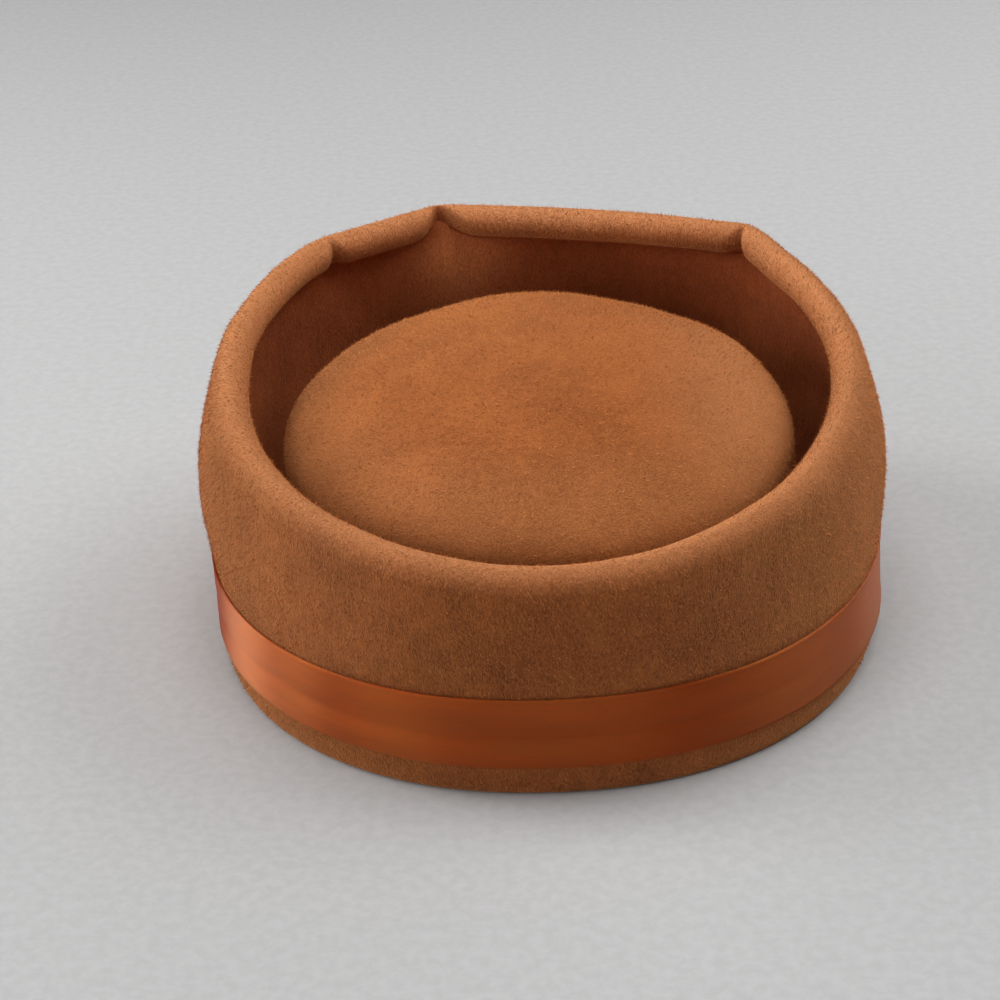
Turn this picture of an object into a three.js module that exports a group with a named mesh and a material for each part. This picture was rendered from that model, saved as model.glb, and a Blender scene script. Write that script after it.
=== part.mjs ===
// Pillbox hat in velour felt, with a satin ribbon round its foot. Millimetres, +Z up.
// The front of the hat faces -Y. The origin is on the surface it rests on, under its middle.
// Three pieces: a domed crown that holds the head, a wide brim that is folded straight up round
// the crown and rolled in at its edge, and the ribbon round the foot of the folded brim.
// Turns round the hat start at its right side and go by way of the back, in degrees.
import * as THREE from "three";
import { mergeVertices } from "three/addons/utils/BufferGeometryUtils.js";

// Felt and ribbon
const CROWN_FELT = 2.4;
const BRIM_FELT = 2.8;
const RIBBON_THICKNESS = 0.8;
const GAP = 0.3;

// Ribbon band, on the lower part of the folded brim. Its end lies over its start at the back.
const RIBBON_BOTTOM = 10;
const RIBBON_WIDTH = 25;
const RIBBON_TOP = RIBBON_BOTTOM + RIBBON_WIDTH;
const RIBBON_LAP = 14;
const RIBBON_START_TURN = 96;

// Ovals seen from above: how far each goes to the left, right, front and back of the crown's axis.
// A squareness of 2 is an ellipse. All but the crown's are on the outer face of the brim.
const OVALS = {
  foot: { left: 110.5, right: 111, front: 116, back: 114, squareness: 2.15 },
  ribbonBottom: { left: 111, right: 112, front: 115, back: 117, squareness: 2.15 },
  ribbonTop: { left: 111, right: 111, front: 116, back: 119, squareness: 2.15 },
  bulge: { left: 114, right: 113.5, front: 117, back: 121, squareness: 2 },
  rim: { left: 107.5, right: 107, front: 117, back: 123, squareness: 2 },
  crown: { left: 86, right: 83.5, front: 91, back: 91, squareness: 2 },
};
const FOOT_RADIUS = 2.5;

// The wall above the ribbon is widest at this share of its height
const BULGE_RISE = 0.35;
const WALL_RISES = [0.25, 0.5, 0.75];

// Rolled edge: the height of its middle, which dips at the front, and its round section
const RIM_HEIGHTS = [
  { turn: 0, height: 87.5 },
  { turn: 45, height: 95 },
  { turn: 90, height: 96.5 },
  { turn: 135, height: 94 },
  { turn: 180, height: 90 },
  { turn: 225, height: 77.5 },
  { turn: 270, height: 71 },
  { turn: 315, height: 76.5 },
];
const ROLL_RADIUS = 6;
const ROLL_BENDS = [0, 32, 64, 96, 128, 160, 192, 224, 256, 285];

// The edge is pinched into three corners at the back, with nearly flat stretches between them.
// Beyond the outer ones, the edge comes back to its oval over the spread, in degrees.
const CORNERS = [
  { turn: 48.5, reach: 119.5, spread: 8 },
  { turn: 107, reach: 124.5, spread: 8 },
  { turn: 129.5, reach: 123.5, spread: 22 },
];
const FACET_BOW = { depth: 3, over: 60 };
const PINCH = { depth: 0.8, spread: 3 };

// Crown: an upright side, and above its shoulder a shallow dome that leans a little to the right
// and has one soft dent
const CROWN_SHOULDER = 64;
const DOME_RISE = 34.5;
const DOME_FULLNESS = 1.9;
const DOME_LEAN = 4;
const DOME_SLOPES = [14, 28, 42, 56, 70, 82];
const DENT = { turn: 55, turnSpread: 24, out: 0.72, outSpread: 0.22, depth: 3 };

// Straight steps round each piece
const CROWN_STEPS = 72;
const BRIM_STEPS = 96;
const RIBBON_STEPS = 100;

const degrees = THREE.MathUtils.degToRad;
const mix = THREE.MathUtils.lerp;

// A bell curve: 1 at zero, and close to 0 beyond twice the spread
function bell(away, spread) {
  return Math.exp(-((away / spread) ** 2));
}

// Distance from the axis to an oval
function reachOf(oval, turn) {
  const c = Math.cos(degrees(turn));
  const s = Math.sin(degrees(turn));
  const across = Math.abs(c) / (c < 0 ? oval.left : oval.right);
  const along = Math.abs(s) / (s < 0 ? oval.front : oval.back);
  return (across ** oval.squareness + along ** oval.squareness) ** (-1 / oval.squareness);
}

// Distance to the stretch between two corners, which bows out a little in its middle
function facetReach(from, to, turn) {
  const before = degrees(turn - from.turn);
  const after = degrees(to.turn - turn);
  const sines = from.reach * Math.sin(before) + to.reach * Math.sin(after);
  const straight = (from.reach * to.reach * Math.sin(before + after)) / sines;
  const wide = to.turn - from.turn;
  const bow = FACET_BOW.depth * (wide / FACET_BOW.over) ** 2;
  return straight + bow * Math.sin((Math.PI * (turn - from.turn)) / wide);
}

// Outer reach of the rolled edge
function rimReach(turn) {
  const next = CORNERS.findIndex((corner) => corner.turn >= turn);
  if (next > 0) return facetReach(CORNERS[next - 1], CORNERS[next], turn);
  const corner = next === 0 || turn > 270 ? CORNERS[0] : CORNERS[CORNERS.length - 1];
  const away = Math.min(Math.abs(turn - corner.turn), 360 - Math.abs(turn - corner.turn));
  const proud = corner.reach - reachOf(OVALS.rim, corner.turn);
  return reachOf(OVALS.rim, turn) + proud * bell(away, corner.spread);
}

// Height of the rolled edge, on a smooth closed curve through the rows of its table
function rimHeight(turn) {
  const step = 360 / RIM_HEIGHTS.length;
  const row = Math.floor(turn / step);
  const at = (k) => RIM_HEIGHTS[(k + RIM_HEIGHTS.length) % RIM_HEIGHTS.length].height;
  const slope = (k) => (at(k + 1) - at(k - 1)) / 2;
  const t = turn / step - row;
  const rise = at(row + 1) - at(row);
  const cubic = slope(row) + slope(row + 1) - 2 * rise;
  const square = 3 * rise - 2 * slope(row) - slope(row + 1);
  return ((cubic * t + square) * t + slope(row)) * t + at(row);
}

// Outer face of the wall, at a share of its height from the ribbon's top to the rolled edge
function wallReach(turn, rise) {
  const low = ((rise - BULGE_RISE) * (rise - 1)) / BULGE_RISE;
  const middle = (rise * (1 - rise)) / (BULGE_RISE * (1 - BULGE_RISE));
  const high = 1 - low - middle;
  return low * reachOf(OVALS.ribbonTop, turn) + middle * reachOf(OVALS.bulge, turn) + high * rimReach(turn);
}

// Upright section of the brim, as a closed outline of [reach, height]: out along the floor, up
// the outer face, round the roll, and back down the inner face to the seam with the crown
function brimSection(turn) {
  const foot = reachOf(OVALS.foot, turn);
  const seam = reachOf(OVALS.crown, turn) + GAP;
  const outer = [0, 30, 60, 90].map((bend) => [
    foot - FOOT_RADIUS * (1 - Math.sin(degrees(bend))),
    FOOT_RADIUS * (1 - Math.cos(degrees(bend))),
  ]);
  const inner = [[foot - BRIM_FELT, BRIM_FELT]];
  const wall = [
    [reachOf(OVALS.ribbonBottom, turn), RIBBON_BOTTOM],
    [reachOf(OVALS.ribbonTop, turn), RIBBON_TOP],
    ...WALL_RISES.map((rise) => [wallReach(turn, rise), mix(RIBBON_TOP, rimHeight(turn), rise)]),
  ];
  for (const [reach, height] of wall) {
    outer.push([reach, height]);
    inner.push([reach - BRIM_FELT, height]);
  }
  const pinched = Math.max(...CORNERS.map((corner) => bell(turn - corner.turn, PINCH.spread)));
  const radius = ROLL_RADIUS - PINCH.depth * pinched;
  const middle = rimReach(turn) - radius;
  for (const bend of ROLL_BENDS) {
    const c = Math.cos(degrees(bend));
    const s = Math.sin(degrees(bend));
    outer.push([middle + radius * c, rimHeight(turn) + radius * s]);
    inner.push([middle + (radius - BRIM_FELT) * c, rimHeight(turn) + (radius - BRIM_FELT) * s]);
  }
  return [[seam, 0], ...outer, ...inner.reverse(), [seam, BRIM_FELT]];
}

// Height of the dome above the shoulder, at a share of its reach
function domeRise(out, turn) {
  const round = DOME_RISE * (1 - out ** DOME_FULLNESS) ** (1 / DOME_FULLNESS);
  const lean = DOME_LEAN * out * Math.cos(degrees(turn)) * (1 - out * out);
  const dent = DENT.depth * bell(out - DENT.out, DENT.outSpread) * bell(turn - DENT.turn, DENT.turnSpread);
  return round + lean - dent;
}

// Upright section of the crown: from the axis down its inner face, and back up its outer face
function crownSection(turn) {
  const reach = reachOf(OVALS.crown, turn);
  const outer = [[0, CROWN_SHOULDER + DOME_RISE]];
  const inner = [[0, CROWN_SHOULDER + DOME_RISE - CROWN_FELT]];
  for (const slope of DOME_SLOPES) {
    const out = Math.sin(degrees(slope)) ** (2 / DOME_FULLNESS);
    const top = CROWN_SHOULDER + domeRise(out, turn);
    outer.push([reach * out, top]);
    inner.push([(reach - CROWN_FELT) * out, top - CROWN_FELT]);
  }
  for (const height of [CROWN_SHOULDER - CROWN_FELT, CROWN_SHOULDER / 2, 0]) {
    outer.push([reach, height]);
    inner.push([reach - CROWN_FELT, height]);
  }
  return [...inner, ...outer.reverse()];
}

// Even turns round the hat, with the nearest ones moved onto the corners
function turnsFor(steps) {
  const turns = Array.from({ length: steps }, (_, i) => (360 * i) / steps);
  for (const corner of CORNERS) {
    turns[Math.round((corner.turn * steps) / 360)] = corner.turn;
  }
  return turns;
}

function pointAt(turn, [reach, height]) {
  return [reach * Math.cos(degrees(turn)), reach * Math.sin(degrees(turn)), height];
}

function closedGeometry(points, faces) {
  const geometry = new THREE.BufferGeometry();
  geometry.setAttribute("position", new THREE.Float32BufferAttribute(points.flat(), 3));
  geometry.setIndex(faces);
  const merged = mergeVertices(geometry, 1e-4);
  merged.computeVertexNormals();
  return merged;
}

// Sweeps a section round the axis. Where the section ends on the axis, it is joined there.
function sweep(sectionAt, steps) {
  const turns = turnsFor(steps);
  const sections = turns.map(sectionAt);
  const count = sections[0].length;
  const points = sections.flatMap((section, i) => section.map((at) => pointAt(turns[i], at)));
  const onAxis = sections[0].map(([reach]) => reach === 0);
  const faces = [];
  for (let i = 0; i < steps; i += 1) {
    for (let k = 0; k < count; k += 1) {
      const up = (k + 1) % count;
      const here = i * count;
      const next = ((i + 1) % steps) * count;
      if (onAxis[k] && onAxis[up]) continue;
      if (!onAxis[k]) faces.push(here + k, next + k, next + up);
      if (!onAxis[up]) faces.push(here + k, next + up, here + up);
    }
  }
  return closedGeometry(points, faces);
}

// The ribbon goes once round the brim, and its end climbs onto its start
function ribbonGeometry() {
  const lap = THREE.MathUtils.radToDeg(RIBBON_LAP / OVALS.ribbonTop.back);
  const points = [];
  const faces = [];
  for (let i = 0; i <= RIBBON_STEPS; i += 1) {
    const along = (i / RIBBON_STEPS) * (360 + lap);
    const turn = (RIBBON_START_TURN + along) % 360;
    const climb = THREE.MathUtils.smoothstep(along, 360 - 2 * lap, 360);
    const clear = GAP + climb * (RIBBON_THICKNESS + GAP);
    const bottom = reachOf(OVALS.ribbonBottom, turn) + clear;
    const top = reachOf(OVALS.ribbonTop, turn) + clear;
    const section = [
      [bottom, RIBBON_BOTTOM],
      [bottom + RIBBON_THICKNESS, RIBBON_BOTTOM],
      [top + RIBBON_THICKNESS, RIBBON_TOP],
      [top, RIBBON_TOP],
    ];
    points.push(...section.map((at) => pointAt(turn, at)));
    if (i === RIBBON_STEPS) continue;
    for (let k = 0; k < 4; k += 1) {
      const a = 4 * i + k;
      const b = 4 * i + ((k + 1) % 4);
      faces.push(a, a + 4, b + 4, a, b + 4, b);
    }
  }
  const end = 4 * RIBBON_STEPS;
  faces.push(0, 1, 2, 0, 2, 3);
  faces.push(end, end + 2, end + 1, end, end + 3, end + 2);
  return closedGeometry(points, faces);
}

const felt = new THREE.MeshStandardMaterial({ color: 0xa8683c, roughness: 0.95, metalness: 0 });
const satin = new THREE.MeshStandardMaterial({ color: 0xb05a28, roughness: 0.4, metalness: 0 });

function piece(name, geometry, material) {
  const mesh = new THREE.Mesh(geometry, material);
  mesh.name = name;
  return mesh;
}

const hat = new THREE.Group();
hat.add(piece("crown", sweep(crownSection, CROWN_STEPS), felt));
hat.add(piece("brim", sweep(brimSection, BRIM_STEPS), felt));
hat.add(piece("ribbon", ribbonGeometry(), satin));

// The pieces are moved together so that the origin is under the middle of the hat
const middle = new THREE.Box3().setFromObject(hat).getCenter(new THREE.Vector3());
hat.children.forEach((mesh) => mesh.position.set(-middle.x, -middle.y, 0));

export default hat;
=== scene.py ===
import math

import bpy
import numpy as np
from mathutils import Matrix, Vector, noise


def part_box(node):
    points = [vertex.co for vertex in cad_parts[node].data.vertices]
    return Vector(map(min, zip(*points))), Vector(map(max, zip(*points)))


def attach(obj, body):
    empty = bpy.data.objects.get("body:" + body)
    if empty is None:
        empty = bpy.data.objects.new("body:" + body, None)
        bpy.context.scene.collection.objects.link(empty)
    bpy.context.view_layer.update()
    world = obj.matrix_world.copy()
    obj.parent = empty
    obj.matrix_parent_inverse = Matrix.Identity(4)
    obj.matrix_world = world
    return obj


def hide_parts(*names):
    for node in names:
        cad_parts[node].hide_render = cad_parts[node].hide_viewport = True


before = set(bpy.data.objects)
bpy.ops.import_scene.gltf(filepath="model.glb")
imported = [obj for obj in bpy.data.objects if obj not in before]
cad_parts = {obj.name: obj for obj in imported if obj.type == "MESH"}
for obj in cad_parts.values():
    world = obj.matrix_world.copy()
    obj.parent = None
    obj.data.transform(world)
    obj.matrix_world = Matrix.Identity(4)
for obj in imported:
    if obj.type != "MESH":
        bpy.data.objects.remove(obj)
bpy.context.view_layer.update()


# ---------------------------------------------------------------------------------------------
# Crown
# One disc of velour felt, 2.4 mm thick, steamed and pulled over a wooden block into a deep cap
# with upright sides and a shallow dome. It holds the head, and its foot is sewn to the brim.
# ---------------------------------------------------------------------------------------------

# Its outline from above. The shoulder is where the side ends and the dome starts.
CROWN_OVAL = {"left": 0.0860, "right": 0.0835, "front": 0.0910, "back": 0.0910, "square": 2.0}
CROWN_FELT = 0.0024
CROWN_SHOULDER = 0.064
CROWN_MIDDLE = 0.030
DOME_RISE = 0.0345
DOME_FULLNESS = 1.9
DOME_LEAN = 0.004
DENT = {"turn": 55, "turn_spread": 24, "out": 0.72, "out_spread": 0.22, "depth": 0.003}
# Swells of the felt, each with its size, depth and seed, and the height where they end
CROWN_SWELLS = ((0.034, 0.0009, 1), (0.012, 0.00025, 2))
CROWN_CALM = 0.03
CROWN_TURNS = 264
CROWN_SLOPES = 44
CROWN_SIDE_STEPS = 22

# The upright line that the crown was blocked round, from its packed box
crown_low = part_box("crown")[0]
axis_x = crown_low.x + CROWN_OVAL["left"]
axis_y = crown_low.y + CROWN_OVAL["front"]


def bell(away, spread):
    """1 at no distance, and close to 0 beyond twice the spread."""
    return np.exp(-((away / spread) ** 2))


def smooth_between(low, high, value):
    """0 up to the low value, 1 from the high one on, and a soft step between them."""
    share = np.clip((value - low) / (high - low), 0, 1)
    return share * share * (3 - 2 * share)


def oval_reach(oval, turn):
    """Distance from the axis to an oval. Turns are degrees from the right side, by the back.
    An oval's "square" is 2 for a plain ellipse, and more for one with fuller corners."""
    c, s = np.cos(np.radians(turn)), np.sin(np.radians(turn))
    across = np.abs(c) / np.where(c < 0, oval["left"], oval["right"])
    along = np.abs(s) / np.where(s < 0, oval["front"], oval["back"])
    return (across ** oval["square"] + along ** oval["square"]) ** (-1 / oval["square"])


def place(turn, reach, height):
    """Points in the row frame, from turns in degrees, and reach and height in metres."""
    turn, reach, height = np.broadcast_arrays(turn, reach, height)
    x = axis_x + reach * np.cos(np.radians(turn))
    y = axis_y + reach * np.sin(np.radians(turn))
    return np.stack([x, y, height], axis=-1)


def handmade(points, size, depth, seed):
    """A soft swell for each point, up to about the depth either way, as hand steaming leaves."""
    flat = points.reshape(-1, 3)
    shift = Vector((seed * 3.7, seed * 1.9, seed * 5.3))
    swell = [noise.noise(Vector(p) / size + shift) for p in flat]
    return depth * np.array(swell).reshape(points.shape[:-1])


def loft(name, grid, ring=False, start=None, end=None):
    """A closed mesh over a grid of points, row by row round the hat. Where the columns don't
    come back on themselves, each end closes on one point."""
    rows, columns = grid.shape[:2]
    points = [tuple(p) for p in grid.reshape(-1, 3)]
    faces = []
    for r in range(rows):
        after = (r + 1) % rows
        for c in range(columns if ring else columns - 1):
            up = (c + 1) % columns
            here, beyond = r * columns, after * columns
            faces.append((here + c, beyond + c, beyond + up, here + up))
    for pole, column in ((start, 0), (end, columns - 1)):
        if pole is None:
            continue
        points.append(tuple(pole))
        tip = len(points) - 1
        for r in range(rows):
            here, after = r * columns + column, ((r + 1) % rows) * columns + column
            faces.append((tip, after, here) if column == 0 else (tip, here, after))
    mesh = bpy.data.meshes.new(name)
    mesh.from_pydata(points, [], faces)
    mesh.update()
    triangles = np.array([(f[0], f[k], f[k + 1]) for f in faces for k in range(1, len(f) - 1)])
    a, b, c = (np.array(points)[triangles[:, k]] for k in range(3))
    if np.einsum("ij,ij->", a, np.cross(b, c)) < 0:
        mesh.flip_normals()
    mesh.shade_smooth()
    piece = bpy.data.objects.new(name, mesh)
    bpy.context.scene.collection.objects.link(piece)
    return piece


def dome_rise(out, turn):
    """Height of the dome above the shoulder, at a share of its reach."""
    round_top = DOME_RISE * (1 - out ** DOME_FULLNESS) ** (1 / DOME_FULLNESS)
    lean = DOME_LEAN * out * np.cos(np.radians(turn)) * (1 - out * out)
    dent = bell(out - DENT["out"], DENT["out_spread"])
    dent = dent * bell(turn - DENT["turn"], DENT["turn_spread"])
    return round_top + lean - DENT["depth"] * dent


crown_turns = np.arange(CROWN_TURNS) * 360 / CROWN_TURNS
slopes = np.linspace(0, 90, CROWN_SLOPES + 1)[1:]
outs = np.sin(np.radians(slopes)) ** (2 / DOME_FULLNESS)
crown_reach = oval_reach(CROWN_OVAL, crown_turns)[:, None]
dome_top = CROWN_SHOULDER + dome_rise(outs[None, :], crown_turns[:, None])
side_heights = np.linspace(CROWN_SHOULDER, 0, CROWN_SIDE_STEPS + 1)[1:]

dome_outer = place(crown_turns[:, None], crown_reach * outs, dome_top)
side_outer = place(crown_turns[:, None], crown_reach, side_heights[None, :])
crown_outer = np.concatenate([dome_outer, side_outer], axis=1)
inner_reach = (crown_reach - CROWN_FELT) * outs
dome_inner = place(crown_turns[:, None], inner_reach, dome_top - CROWN_FELT)
inner_heights = side_heights * (1 - CROWN_FELT / CROWN_SHOULDER)
side_inner = place(crown_turns[:, None], crown_reach - CROWN_FELT, inner_heights[None, :])
crown_inner = np.concatenate([dome_inner, side_inner], axis=1)

# The felt keeps faint swells from its block, which fade out at the seam
for surface in (crown_outer, crown_inner):
    level = surface[..., 2]
    calm = smooth_between(0, CROWN_CALM, level)
    swell = sum(handmade(crown_outer, *layer) for layer in CROWN_SWELLS)
    outward = surface - np.array([axis_x, axis_y, CROWN_MIDDLE])
    outward /= np.linalg.norm(outward, axis=-1, keepdims=True)
    surface += outward * (swell * calm)[..., None]

crown_grid = np.concatenate([crown_outer, crown_inner[:, ::-1]], axis=1)
crown = loft(
    "crown_felt",
    crown_grid,
    start=(axis_x, axis_y, crown_outer[:, 0, 2].mean()),
    end=(axis_x, axis_y, crown_inner[:, 0, 2].mean()),
)


# Velour felt: short rabbit fur that stands off the felt in every direction. It is a group,
# because the crown and the brim are cut from the same felt.
def socket(group, direction, kind, name, value=None):
    made = group.interface.new_socket(name, in_out=direction, socket_type=kind)
    if value is not None:
        made.default_value = value
    return made


def link(tree, source, target):
    tree.links.new(source, target)


def noise_node(tree, vector, scale, detail=2.0, rough=0.5, distortion=0.0):
    node = tree.nodes.new("ShaderNodeTexNoise")
    node.inputs["Scale"].default_value = scale
    node.inputs["Detail"].default_value = detail
    node.inputs["Roughness"].default_value = rough
    node.inputs["Distortion"].default_value = distortion
    link(tree, vector, node.inputs["Vector"])
    return node.outputs["Fac"]


def math_node(tree, operation, *values):
    node = tree.nodes.new("ShaderNodeMath")
    node.operation = operation
    for k, value in enumerate(values):
        if isinstance(value, (int, float)):
            node.inputs[k].default_value = value
        else:
            link(tree, value, node.inputs[k])
    return node.outputs[0]


def ramp_node(tree, value, low=0.3, high=0.7):
    """Stretches a pattern's middle, from low to high, over 0 to 1."""
    node = tree.nodes.new("ShaderNodeMapRange")
    node.interpolation_type = "SMOOTHSTEP"
    node.inputs["From Min"].default_value = low
    node.inputs["From Max"].default_value = high
    link(tree, value, node.inputs["Value"])
    return node.outputs["Result"]


def mix_colour(tree, share, first, second, blend="MIX"):
    node = tree.nodes.new("ShaderNodeMix")
    node.data_type = "RGBA"
    node.blend_type = blend
    for k, value in ((0, share), (6, first), (7, second)):
        if isinstance(value, (int, float, tuple)):
            node.inputs[k].default_value = value
        else:
            link(tree, value, node.inputs[k])
    return node.outputs[2]


def mapping_node(tree, vector, scale, turn=(0, 0, 0)):
    node = tree.nodes.new("ShaderNodeMapping")
    node.inputs["Scale"].default_value = scale
    node.inputs["Rotation"].default_value = [math.radians(a) for a in turn]
    link(tree, vector, node.inputs["Vector"])
    return node.outputs["Vector"]


# How fine its patterns are, in waves a metre: two layers of fur that lean across each other,
# tufts, and clouds. Then how much of the colour, and of the height, each one makes.
FUR_WAVES = (2100, 2700)
FUR_LEANS = ((14, 20, 0), (-18, -22, 40))
FUR_CONTRAST = (0.38, 0.62)
TUFT_WAVES = 420
CLOUD_WAVES = 26
FUR_COLOUR, TUFT_COLOUR, CLOUD_COLOUR = 0.5, 0.15, 0.35
FUR_HEIGHT, TUFT_HEIGHT = 0.65, 0.35
FELT_ROUGHNESS, FUR_SMOOTHER = 0.95, -0.1
NAP_RELIEF = 0.0005

velour = bpy.data.node_groups.new("velour_felt", "ShaderNodeTree")
socket(velour, "INPUT", "NodeSocketVector", "Place")
socket(velour, "INPUT", "NodeSocketFloat", "Painted light", 0)
socket(velour, "INPUT", "NodeSocketColor", "Fur tips", (0.46, 0.175, 0.06, 1))
socket(velour, "INPUT", "NodeSocketColor", "Fur roots", (0.2, 0.06, 0.018, 1))
socket(velour, "INPUT", "NodeSocketColor", "Painted light fur", (0.56, 0.24, 0.095, 1))
socket(velour, "INPUT", "NodeSocketFloat", "Nap length", 0.35)
socket(velour, "OUTPUT", "NodeSocketColor", "Colour")
socket(velour, "OUTPUT", "NodeSocketFloat", "Height")
socket(velour, "OUTPUT", "NodeSocketFloat", "Roughness")
velour_in = velour.nodes.new("NodeGroupInput")
velour_out = velour.nodes.new("NodeGroupOutput")
stretch = velour.nodes.new("ShaderNodeCombineXYZ")
stretch.inputs[0].default_value = 1
stretch.inputs[1].default_value = 1
link(velour, velour_in.outputs["Nap length"], stretch.inputs[2])
combed = velour.nodes.new("ShaderNodeVectorMath")
combed.operation = "MULTIPLY"
link(velour, velour_in.outputs["Place"], combed.inputs[0])
link(velour, stretch.outputs[0], combed.inputs[1])
fur_layers = []
for waves, lean in zip(FUR_WAVES, FUR_LEANS):
    leaning = mapping_node(velour, combed.outputs[0], (1, 1, 1), lean)
    fur_layers.append(noise_node(velour, leaning, waves, rough=0.6, distortion=0.5))
tufts = noise_node(velour, combed.outputs[0], TUFT_WAVES, rough=0.55)
clouds = noise_node(velour, velour_in.outputs["Place"], CLOUD_WAVES, detail=3.0, rough=0.6)
half_fur = math_node(velour, "MULTIPLY", fur_layers[1], 0.5)
fur = math_node(velour, "MULTIPLY_ADD", fur_layers[0], 0.5, half_fur)
fur_mask = ramp_node(velour, fur, *FUR_CONTRAST)
tuft_mask = ramp_node(velour, tufts)
cloud_mask = ramp_node(velour, clouds)
lit = math_node(velour, "MULTIPLY", fur_mask, FUR_COLOUR)
lit = math_node(velour, "MULTIPLY_ADD", tuft_mask, TUFT_COLOUR, lit)
lit = math_node(velour, "MULTIPLY_ADD", cloud_mask, CLOUD_COLOUR, lit)
colour = mix_colour(velour, lit, velour_in.outputs["Fur roots"], velour_in.outputs["Fur tips"])
# Where the points carry painted light, a paler fur colour is mixed in, patchy with the fur: painted
# highlight and sheen
patchy = math_node(velour, "MULTIPLY_ADD", fur_mask, 0.5, 0.5)
painted_light = math_node(velour, "MULTIPLY", velour_in.outputs["Painted light"], patchy)
colour = mix_colour(velour, painted_light, colour, velour_in.outputs["Painted light fur"])
height = math_node(velour, "MULTIPLY", fur_mask, FUR_HEIGHT)
height = math_node(velour, "MULTIPLY_ADD", tuft_mask, TUFT_HEIGHT, height)
rough = math_node(velour, "MULTIPLY_ADD", fur_mask, FUR_SMOOTHER, FELT_ROUGHNESS)
link(velour, colour, velour_out.inputs["Colour"])
link(velour, height, velour_out.inputs["Height"])
link(velour, rough, velour_out.inputs["Roughness"])


def felt_material(name, tips, roots, painted_light_fur, nap_length, relief, bloom):
    """Velour in its own dye, with a paler fur colour mixed in where the points carry painted light.
    bloom is the soft light along its fur.
    """
    material = bpy.data.materials.new(name)
    material.use_nodes = True
    tree = material.node_tree
    shader = tree.nodes["Principled BSDF"]
    where = tree.nodes.new("ShaderNodeTexCoord")
    # The painted light kept on the piece's points, for the paler fur colour
    painted_highlight = tree.nodes.new("ShaderNodeAttribute")
    painted_highlight.attribute_name = "painted_light"
    felt = tree.nodes.new("ShaderNodeGroup")
    felt.node_tree = velour
    felt.inputs["Fur tips"].default_value = tips
    felt.inputs["Fur roots"].default_value = roots
    felt.inputs["Painted light fur"].default_value = painted_light_fur
    felt.inputs["Nap length"].default_value = nap_length
    link(tree, where.outputs["Object"], felt.inputs["Place"])
    link(tree, painted_highlight.outputs["Fac"], felt.inputs["Painted light"])
    bump = tree.nodes.new("ShaderNodeBump")
    bump.inputs["Strength"].default_value = relief
    bump.inputs["Distance"].default_value = NAP_RELIEF
    link(tree, felt.outputs["Height"], bump.inputs["Height"])
    link(tree, felt.outputs["Colour"], shader.inputs["Base Color"])
    link(tree, felt.outputs["Roughness"], shader.inputs["Roughness"])
    link(tree, bump.outputs["Normal"], shader.inputs["Normal"])
    shader.inputs["Specular IOR Level"].default_value = 0.1
    shader.inputs["Sheen Weight"].default_value = bloom
    shader.inputs["Sheen Roughness"].default_value = 0.42
    shader.inputs["Sheen Tint"].default_value = (1.0, 0.45, 0.18, 1)
    return material


def keep_on_points(piece, name, values):
    """Keeps a number, or a vector, for each of the piece's points."""
    kind, field = ("FLOAT_VECTOR", "vector") if values.ndim == 2 else ("FLOAT", "value")
    attribute = piece.data.attributes.new(name, kind, "POINT")
    attribute.data.foreach_set(field, values.astype(np.float32).ravel())


# The nap itself: loose hairs that stand out of the felt, each one a slim pyramid. "nap" on the
# felt's points thins them out, and "comb" is the way they are brushed.
HAIR_SUNK = 0.00015
HAIR_GROWTH = (0.55, 1.3)
DYE_RANGE = (0.02, 0.95)
DYE_SPOT = 0.02
HAIR_SIDES = 3

hairs = bpy.data.node_groups.new("velour_nap", "GeometryNodeTree")
socket(hairs, "INPUT", "NodeSocketGeometry", "Felt")
socket(hairs, "INPUT", "NodeSocketFloat", "Hairs per square metre")
socket(hairs, "INPUT", "NodeSocketFloat", "Hair length")
socket(hairs, "INPUT", "NodeSocketFloat", "Hair width")
socket(hairs, "INPUT", "NodeSocketFloat", "Lay")
socket(hairs, "INPUT", "NodeSocketFloat", "Stand")
socket(hairs, "INPUT", "NodeSocketFloat", "Stray")
socket(hairs, "INPUT", "NodeSocketInt", "Seed")
socket(hairs, "INPUT", "NodeSocketMaterial", "Fur")
socket(hairs, "OUTPUT", "NodeSocketGeometry", "Nap")


def geometry_node(tree, kind, **settings):
    node = tree.nodes.new(kind)
    for key, value in settings.items():
        setattr(node, key, value)
    return node


def kept_value(tree, name, kind):
    node = geometry_node(tree, "GeometryNodeInputNamedAttribute", data_type=kind)
    node.inputs["Name"].default_value = name
    return node.outputs["Attribute"]


def random_value(tree, kind, low, high, seed):
    node = geometry_node(tree, "FunctionNodeRandomValue", data_type=kind)
    slot = {"FLOAT": 2, "FLOAT_VECTOR": 0}[kind]
    node.inputs[slot].default_value = low
    node.inputs[slot + 1].default_value = high
    link(tree, seed, node.inputs["Seed"])
    return node.outputs[{"FLOAT": 1, "FLOAT_VECTOR": 0}[kind]]


def vector_node(tree, operation, *values):
    node = geometry_node(tree, "ShaderNodeVectorMath", operation=operation)
    for k, value in enumerate(values):
        if isinstance(value, tuple):
            node.inputs[k].default_value = value
        else:
            link(tree, value, node.inputs["Scale" if operation == "SCALE" and k else k])
    return node.outputs["Vector"]


hairs_in = geometry_node(hairs, "NodeGroupInput")
hairs_out = geometry_node(hairs, "NodeGroupOutput")
scatter = geometry_node(hairs, "GeometryNodeDistributePointsOnFaces", distribute_method="RANDOM")
link(hairs, hairs_in.outputs["Felt"], scatter.inputs["Mesh"])
nap_share = kept_value(hairs, "nap", "FLOAT")
density = math_node(hairs, "MULTIPLY", nap_share, hairs_in.outputs["Hairs per square metre"])
link(hairs, density, scatter.inputs["Density"])
link(hairs, hairs_in.outputs["Seed"], scatter.inputs["Seed"])

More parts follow.
